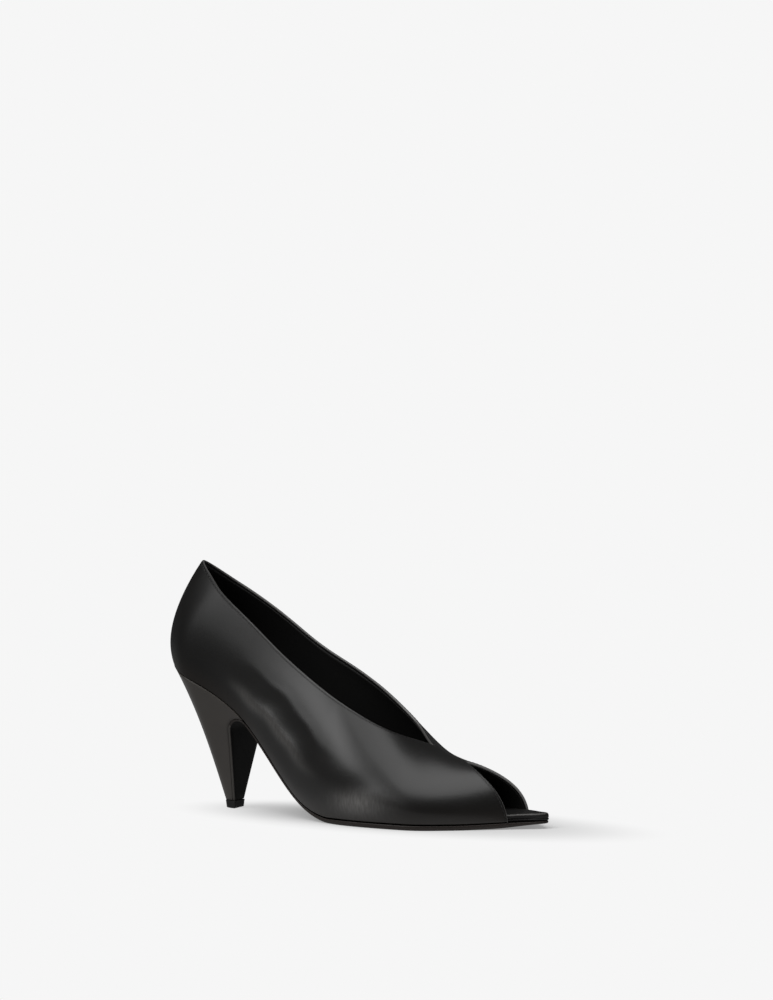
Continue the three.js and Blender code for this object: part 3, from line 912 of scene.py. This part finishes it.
def build_outsole(edge_material, bottom_material, heel_material):
    start = solve([1.0], [5.0], lambda s: outline_x(s) - ARCH_START * LENGTH)[0]
    columns = 150
    section = np.linspace(TIP_SECTION, start, columns + 1)
    along = outline_x(section) / LENGTH
    to_ball = (along - WAIST_END) / (FOREPART_START - WAIST_END)
    forepart = blend(FOREPART_THICKNESS, NOSE_THICKNESS, (along - NOSE_START) / (1 - NOSE_START))
    thickness = blend(WAIST_THICKNESS, forepart, to_ball)
    forepart_proud = blend(OUTSOLE_PROUD, -NOSE_INSET, past_corner(section))
    angles = np.linspace(arch["start_angle"], arch["end_angle"], 25)[1:]

    def ring(raised, bevel):
        proud = blend(-WAIST_INSET, forepart_proud, to_ball) - bevel
        down = -FIT_GAP - thickness * (1 - raised)
        outer = edge_point(-section, proud, down)
        inner = edge_point(section, proud, down)
        place = np.array([arch_point(angle, raised * WAIST_THICKNESS) for angle in angles])
        foot = arch["foot"] - np.array([raised * WAIST_THICKNESS, 0])
        breast = place[-1] + (foot - place[-1]) * np.linspace(0, 1, 15)[1:, None]
        place = np.concatenate([place, breast])
        slim = bevel / 2
        rear_outer = heel_side_y(-1, place[:, 0], place[:, 1]) + slim
        rear_inner = heel_side_y(1, place[:, 0], place[:, 1]) - slim
        outer = np.concatenate([outer, np.stack([place[:, 0], rear_outer, place[:, 1]], -1)])
        inner = np.concatenate([inner, np.stack([place[:, 0], rear_inner, place[:, 1]], -1)])
        return np.concatenate([outer, inner[1:][::-1]])

    rings = [ring(raised, bevel) for raised, bevel in SOLE_EDGE]
    points, faces = closed_rings(rings, across_first=8)
    around = len(rings[0])
    from_nose = np.minimum(np.arange(around), around - 1 - np.arange(around))
    edge_finish = np.where(from_nose > columns + len(angles) * FLAP_FINISH_FROM, 2, 0)
    finishes = np.tile(edge_finish, len(rings) - 1).tolist()
    finishes += [1] * (len(faces) - len(finishes))
    materials = [edge_material, bottom_material, heel_material]
    piece = make_piece("sole_leather", points, faces, materials, finishes)
    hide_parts("outsole")
    return piece


def build_heel(material):
    columns = 56
    rings = []
    heights = np.concatenate([[0, 0.004], np.linspace(0.12, 1, 42) ** 1.7])
    for r, t in enumerate(heights):
        clear = WAIST_THICKNESS + FIT_GAP + (HEEL_FRONT_EDGE if r == 0 else 0)

        def end(sign):
            def depth(s):
                p = heel_point(sign * s, np.full_like(s, t))
                return depth_behind_face(p[..., 0], p[..., 2]) - clear
            return solve([HEEL_BACK_SECTION], [HEEL_FRONT_SECTION], depth)[0]

        inner = np.linspace(0, end(1), columns + 1)
        outer = np.linspace(-end(-1), 0, columns + 1)[:-1]
        sections = np.concatenate([inner, outer])
        ring = heel_point(sections, np.full_like(sections, t))
        if r == 0:
            nx, ny = outline_normal(sections)
            ring -= np.stack([nx, ny, np.zeros_like(nx)], -1) * HEEL_TOP_ROUNDING
        rings.append(ring)
    points, faces = closed_rings(rings)
    piece = make_piece("heel_cover", points, faces, [material])
    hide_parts("heel")
    return piece


# Side of the top piece from the floor up, as inset and height: it tapers a little towards the floor
TOP_PIECE_TAPER = 0.5
TOP_PIECE_SIDE = [
    (TOP_PIECE_TAPER + 0.25, 0),
    (TOP_PIECE_TAPER + 0.07, 0.07),
    (TOP_PIECE_TAPER, 0.25),
    (0, TOP_PIECE_HEIGHT - 0.3),
    (0.1, TOP_PIECE_HEIGHT - 0.1),
    (0.35, TOP_PIECE_HEIGHT),
]


def build_top_piece(material):
    half = TIP_WIDTH / 2 + TOP_PIECE_PROUD
    front = BREAST_X + TOP_PIECE_PROUD
    turns = np.linspace(math.pi / 2, math.pi * 1.5, 41)
    arc = np.stack([BREAST_X + (TIP_DEPTH + TOP_PIECE_PROUD) * np.cos(turns), half * np.sin(turns)], -1)
    face = np.stack([np.full(9, front), np.linspace(-half, half, 9)], -1)
    plan = np.concatenate([face[4:], arc, face[:4]])
    centre = plan.mean(0)

    def ring(inset, z):
        away = plan - centre
        length = np.linalg.norm(away, axis=-1, keepdims=True)
        flat = centre + away * (1 - inset / length)
        return np.concatenate([flat, np.full((len(flat), 1), z)], -1)

    rings = [ring(inset, z) for inset, z in TOP_PIECE_SIDE]
    points, faces = closed_rings(rings, across_first=4, across_last=4)
    piece = make_piece("rubber_top_piece", points, faces, [material])
    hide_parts("top_piece")
    return piece


# Materials

class Value:
    """A value that varies over a surface, with plain arithmetic."""

    def __init__(self, maker, socket):
        self.maker = maker
        self.socket = socket

    def _math(self, operation, first, second):
        node = self.maker.nodes.new("ShaderNodeMath")
        node.operation = operation
        for slot, value in zip(node.inputs, (first, second)):
            if isinstance(value, Value):
                self.maker.links.new(value.socket, slot)
            else:
                slot.default_value = value
        return Value(self.maker, node.outputs[0])

    def __add__(self, other):
        return self._math("ADD", self, other)

    def __radd__(self, other):
        return self._math("ADD", other, self)

    def __sub__(self, other):
        return self._math("SUBTRACT", self, other)

    def __rsub__(self, other):
        return self._math("SUBTRACT", other, self)

    def __mul__(self, other):
        return self._math("MULTIPLY", self, other)

    def __rmul__(self, other):
        return self._math("MULTIPLY", other, self)

    def between(self, low, high):
        """Goes from 0 at low to 1 at high, softly."""
        node = self.maker.nodes.new("ShaderNodeMapRange")
        node.interpolation_type = "SMOOTHSTEP"
        node.inputs["From Min"].default_value = low
        node.inputs["From Max"].default_value = high
        self.maker.links.new(self.socket, node.inputs["Value"])
        return Value(self.maker, node.outputs["Result"])


class Finish:
    """A procedural material under construction."""

    def __init__(self, name):
        self.material = bpy.data.materials.new(name)
        self.material.use_nodes = True
        self.nodes = self.material.node_tree.nodes
        self.links = self.material.node_tree.links
        self.shader = self.nodes["Principled BSDF"]
        self.place = self.node("ShaderNodeTexCoord", "Object")

    def node(self, kind, output, inputs=None, **settings):
        """Any node: its inputs by name, its settings by attribute, and one of its outputs."""
        node = self.nodes.new(kind)
        for name, value in settings.items():
            setattr(node, name, value)
        for name, value in (inputs or {}).items():
            if isinstance(value, Value):
                self.links.new(value.socket, node.inputs[name])
            else:
                node.inputs[name].default_value = value
        return Value(self, node.outputs[output])

    def noise(self, size, detail=2.0, stretch=(1, 1, 1)):
        """Soft noise from 0 to 1 whose blotches are about size millimetres across."""
        place = self.node("ShaderNodeMapping", "Vector", {"Vector": self.place, "Scale": stretch})
        return self.node("ShaderNodeTexNoise", "Fac",
                         {"Vector": place, "Scale": 1 / (size * MM), "Detail": detail})

    def pores(self, size):
        return self.node("ShaderNodeTexVoronoi", "Distance",
                         {"Vector": self.place, "Scale": 1 / (size * MM)})

    def attribute(self, name):
        return self.node("ShaderNodeAttribute", "Fac", attribute_name=name)

    def mix(self, share, first, second):
        """Colour between first and second."""
        node = self.nodes.new("ShaderNodeMix")
        node.data_type = "RGBA"
        colours = node.inputs[6], node.inputs[7]
        for slot, value in zip((node.inputs["Factor"], *colours), (share, first, second)):
            if isinstance(value, Value):
                self.links.new(value.socket, slot)
            else:
                slot.default_value = value if isinstance(value, float) else (*value, 1)
        return Value(self, node.outputs[2])

    def set(self, **values):
        """Sets shader inputs: a plain number stays on the socket, a varying value is linked."""
        for name, value in values.items():
            slot = self.shader.inputs[name.replace("_", " ").title().replace("Ior", "IOR")]
            if isinstance(value, Value):
                self.links.new(value.socket, slot)
            elif isinstance(value, tuple):
                slot.default_value = (*value, 1)
            else:
                slot.default_value = value
        return self

    def bump(self, height, depth, strength=1.0):
        """Relief of depth millimetres where height goes from 0 to 1."""
        normal = self.node("ShaderNodeBump", "Normal",
                           {"Height": height, "Distance": depth * MM, "Strength": strength})
        self.links.new(normal.socket, self.shader.inputs["Normal"])
        return self


def nappa_leather():
    """Smooth black leather: drier and painted darker over the counter as painted shade, with painted
    highlights where the shoe bends and along its rims.
    """
    finish = Finish("black nappa leather")
    grain = finish.pores(0.45) * 0.6 + finish.noise(0.8, 3) * 0.4
    fine_folds = finish.noise(3.5, 3, (3.2, 1, 0.7))
    cloud = finish.noise(16, 4)
    rim = finish.attribute("rim")
    # Where the painted highlight along the rims lies
    edge = rim.between(0.55, 0.05)
    # Stitch groove below the rims: sunk by the bump, rougher, and painted darker as painted shade
    channel = rim.between(0.95, 1.25) * rim.between(2.05, 1.75)
    counter = finish.attribute("counter")
    streaks = fine_folds.between(0.20, 0.75)
    # Painted highlight along the waist fold, broken by fine streaks
    fold = finish.attribute("fold") * (streaks * 0.30 + 0.70)
    # Painted highlight over the ball, broken by the same streaks
    flex = finish.attribute("flex") * (streaks * 0.45 + 0.55)
    colour = finish.mix(cloud, (.0095, .0090, .0085), (.0135, .0129, .0122))
    # Painted shade: darker colour over the counter
    colour = finish.mix(counter * 0.9, colour, (.0040, .0038, .0036))
    colour = finish.mix(finish.attribute("low") * 0.7, colour, (.0200, .0155, .0125))
    # Painted highlight: paler colour along the waist fold
    colour = finish.mix(fold * 0.85, colour, (.120, .116, .111))
    # Painted highlight: pale colour over the ball
    colour = finish.mix(flex * 0.95, colour, (.230, .224, .216))
    # Painted shade: darker colour in the stitch groove
    colour = finish.mix(channel * 0.9, colour, (.0012, .0011, .0010))
    # Painted highlight colour along the rims, paler at the toe opening
    painted_edge_highlight = finish.mix(finish.attribute("toe"), (.100, .097, .093), (.30, .295, .29))
    finish.set(
        base_color=finish.mix(edge, colour, painted_edge_highlight),
        roughness=0.31 + cloud * 0.06 + grain * 0.05 + counter * 0.20 - edge * 0.08 + channel * 0.3,
        specular_ior_level=0.34,
        coat_weight=0.58 - counter * 0.50,
        coat_roughness=0.28,
    )
    finish.bump(grain * 0.45 + fine_folds * flex * 0.6 + fine_folds * 0.25 - channel * 2.5, 0.06)
    return finish.material


def grained_finish(name, size, detail, dark, light, roughness, roughened, depth, stretch=(1, 1, 1)):
    """A finish whose fine grain gives its colour from dark to light, its roughness and its relief."""
    finish = Finish(name)
    grain = finish.noise(size, detail, stretch)
    finish.set(base_color=finish.mix(grain, dark, light), roughness=roughness + grain * roughened)
    finish.bump(grain, depth)
    return finish.material


def insole_leather():
    finish = Finish("black insole leather")
    grain = finish.noise(0.7, 3)
    # Painted highlight along the rounded top edge: paler and smoother
    painted_edge_highlight = finish.attribute("painted_edge_highlight")
    colour = finish.mix(grain, (.0045, .0042, .0040), (.008, .0075, .0070))
    finish.set(
        base_color=finish.mix(painted_edge_highlight * 0.9, colour, (.085, .081, .076)),
        roughness=0.46 + grain * 0.1 - painted_edge_highlight * 0.12,
    )
    finish.bump(grain, 0.02)
    return finish.material


def sole_bottom():
    finish = Finish("black sole leather")
    grain = finish.noise(0.8, 4)
    wear = finish.noise(22, 3)
    finish.set(
        base_color=finish.mix(wear, (.004, .0036, .0033), (.007, .0064, .0058)),
        roughness=0.55 + grain * 0.16 + wear * 0.1,
        specular_ior_level=0.18,
    )
    finish.bump(grain, 0.03)
    return finish.material


def heel_leather():
    finish = Finish("black heel leather")
    grain = finish.pores(0.4) * 0.6 + finish.noise(0.8, 3) * 0.4
    cloud = finish.noise(14, 3)
    finish.set(
        base_color=finish.mix(cloud, (.066, .0590, .0525), (.082, .0735, .0655)),
        roughness=0.36 + cloud * 0.05 + grain * 0.05,
        specular_ior_level=0.6,
    )
    finish.bump(grain, 0.015)
    return finish.material


# Stage, lights and camera

CAMERA_AZIMUTH = 27.5
CAMERA_ELEVATION = 6.3
CAMERA_DISTANCE = 1650
CAMERA_AIM = (111, 0, 50)
CAMERA_YAW_TRIM = -0.5889
CAMERA_PITCH_TRIM = -4.1975
SENSOR_HEIGHT = 36
CAMERA_LENS = 3.04494 * SENSOR_HEIGHT


def place_camera():
    azimuth = math.radians(CAMERA_AZIMUTH)
    elevation = math.radians(CAMERA_ELEVATION)
    back = np.array([
        math.sin(azimuth) * math.cos(elevation),
        -math.cos(azimuth) * math.cos(elevation),
        math.sin(elevation),
    ])
    place = in_frame(np.array(CAMERA_AIM) + back * CAMERA_DISTANCE)
    yaw = azimuth + math.radians(CAMERA_YAW_TRIM)
    pitch = elevation + math.radians(CAMERA_PITCH_TRIM)
    looking = Vector((-math.sin(yaw) * math.cos(pitch), math.cos(yaw) * math.cos(pitch), -math.sin(pitch)))
    data = bpy.data.cameras.new("camera")
    data.sensor_fit = "VERTICAL"
    data.sensor_height = SENSOR_HEIGHT
    data.lens = CAMERA_LENS
    data.clip_end = 50
    camera = put_in_scene("camera", data)
    camera.location = place
    camera.rotation_euler = looking.to_track_quat("-Z", "Y").to_euler()
    bpy.context.scene.camera = camera


BACKDROP_TONE = 0.922
STUDIO_TONE = 0.05
FLOOR_RADIUS = 1.6

# Glow of the floor in the leather's reflections, and the least share of glow, close to the shoe
REFLECTED_GLOW = 0.28
LEAST_GLOW = 0.28

# The floor's shaded part is an oval: its proportions, its shift, and where it starts to fade and ends
SHADE_WIDTH = 0.085
SHADE_DEPTH = 0.035
SHADE_SHIFT = -0.035
SHADE_FULL = 0.06
SHADE_END = 0.15


def pale_floor():
    """Matt floor that takes the shade under the shoe, and melts into the backdrop's tone around it.
    It glows less in the leather's reflections than for the camera."""
    finish = Finish("pale floor")
    finish.set(base_color=(.90, .90, .90), roughness=0.9, specular_ior_level=0.0)
    stretched = finish.node("ShaderNodeMapping", "Vector", {
        "Vector": finish.place,
        "Location": (SHADE_SHIFT, 0, 0),
        "Scale": (1, SHADE_WIDTH / SHADE_DEPTH, 1),
    })
    distance = finish.node("ShaderNodeVectorMath", "Value", {"Vector": stretched}, operation="LENGTH")
    seen = finish.node("ShaderNodeLightPath", "Is Camera Ray")
    glow = finish.nodes.new("ShaderNodeEmission")
    glow.inputs["Color"].default_value = (1, 1, 1, 1)
    strength = seen * (BACKDROP_TONE - REFLECTED_GLOW) + REFLECTED_GLOW
    finish.links.new(strength.socket, glow.inputs["Strength"])
    mix = finish.nodes.new("ShaderNodeMixShader")
    share = distance.between(SHADE_FULL, SHADE_END) * (1 - LEAST_GLOW) + LEAST_GLOW
    finish.links.new(share.socket, mix.inputs["Fac"])
    finish.links.new(finish.shader.outputs["BSDF"], mix.inputs[1])
    finish.links.new(glow.outputs["Emission"], mix.inputs[2])
    finish.links.new(mix.outputs["Shader"], finish.nodes["Material Output"].inputs["Surface"])
    return finish.material


def make_floor(material):
    turns = np.linspace(0, 2 * math.pi, 96, endpoint=False)
    rim = [(FLOOR_RADIUS * math.cos(turn), FLOOR_RADIUS * math.sin(turn), 0) for turn in turns]
    mesh = bpy.data.meshes.new("floor")
    mesh.from_pydata(rim, [], [tuple(range(len(rim)))])
    mesh.materials.append(material)
    floor = put_in_scene("floor", mesh)


def soft_light(name, azimuth, elevation, distance, size, brightness):
    """A softbox at that azimuth, counted from the outer side towards the toe, and elevation."""
    turn, lift = math.radians(azimuth), math.radians(elevation)
    away = Vector((math.sin(turn) * math.cos(lift), -math.cos(turn) * math.cos(lift), math.sin(lift)))
    data = bpy.data.lights.new(name, "AREA")
    data.shape = "RECTANGLE"
    data.size, data.size_y = size
    data.energy = brightness * math.pi * size[0] * size[1]
    light = put_in_scene(name, data)
    light.location = away * distance + Vector((0, 0, 0.05))
    light.rotation_euler = away.to_track_quat("Z", "Y").to_euler()


def light_stage():
    """The camera sees a plain pale backdrop; the shoe is lit by softboxes in a dim studio."""
    world = bpy.data.worlds.new("studio")
    world.use_nodes = True
    nodes, links = world.node_tree.nodes, world.node_tree.links
    dim = nodes["Background"]
    dim.inputs["Color"].default_value = (1, 1, 1, 1)
    dim.inputs["Strength"].default_value = STUDIO_TONE
    seen = nodes.new("ShaderNodeBackground")
    seen.inputs["Color"].default_value = (BACKDROP_TONE, BACKDROP_TONE, BACKDROP_TONE, 1)
    path = nodes.new("ShaderNodeLightPath")
    mix = nodes.new("ShaderNodeMixShader")
    links.new(path.outputs["Is Camera Ray"], mix.inputs["Fac"])
    links.new(dim.outputs["Background"], mix.inputs[1])
    links.new(seen.outputs["Background"], mix.inputs[2])
    links.new(mix.outputs["Shader"], nodes["World Output"].inputs["Surface"])
    bpy.context.scene.world = world
    bpy.context.scene.view_settings.view_transform = "Standard"
    soft_light("key", -31, 47, 1.4, (0.72, 1.20), 3.1)
    soft_light("overhead", 50, 81, 1.5, (1.3, 1.2), 1.9)


place_camera()
light_stage()
make_floor(pale_floor())
lining_finish = grained_finish(
    "black lining leather", 0.6, 3, (.0035, .0033, .0031), (.0055, .0052, .0048), 0.62, 0.1, 0.02)
upper = build_upper(nappa_leather(), lining_finish)
build_lining(lining_finish)
thread = grained_finish(
    "black thread", 0.25, 2, (.030, .0290, .028), (.065, .0635, .062), 0.45, 0.2, 0.03)
stitches = stitch_tree()
build_stitches("topline_stitches", topline_seam(), upper, stitches, thread)
build_stitches("toe_opening_stitches", peep_seam(), upper, stitches, thread)
build_insole(insole_leather())
heel_finish = heel_leather()
edge_ink = grained_finish(
    "inked sole edge", 0.5, 3, (.016, .0118, .0100), (.034, .0245, .0205), 0.40, 0.15, 0.03, (0.3, 0.3, 1))
build_outsole(edge_ink, sole_bottom(), heel_finish)
build_heel(heel_finish)
rubber = grained_finish(
    "black rubber", 0.4, 3, (.006, .006, .006), (.010, .010, .0098), 0.6, 0.15, 0.03)
build_top_piece(rubber)
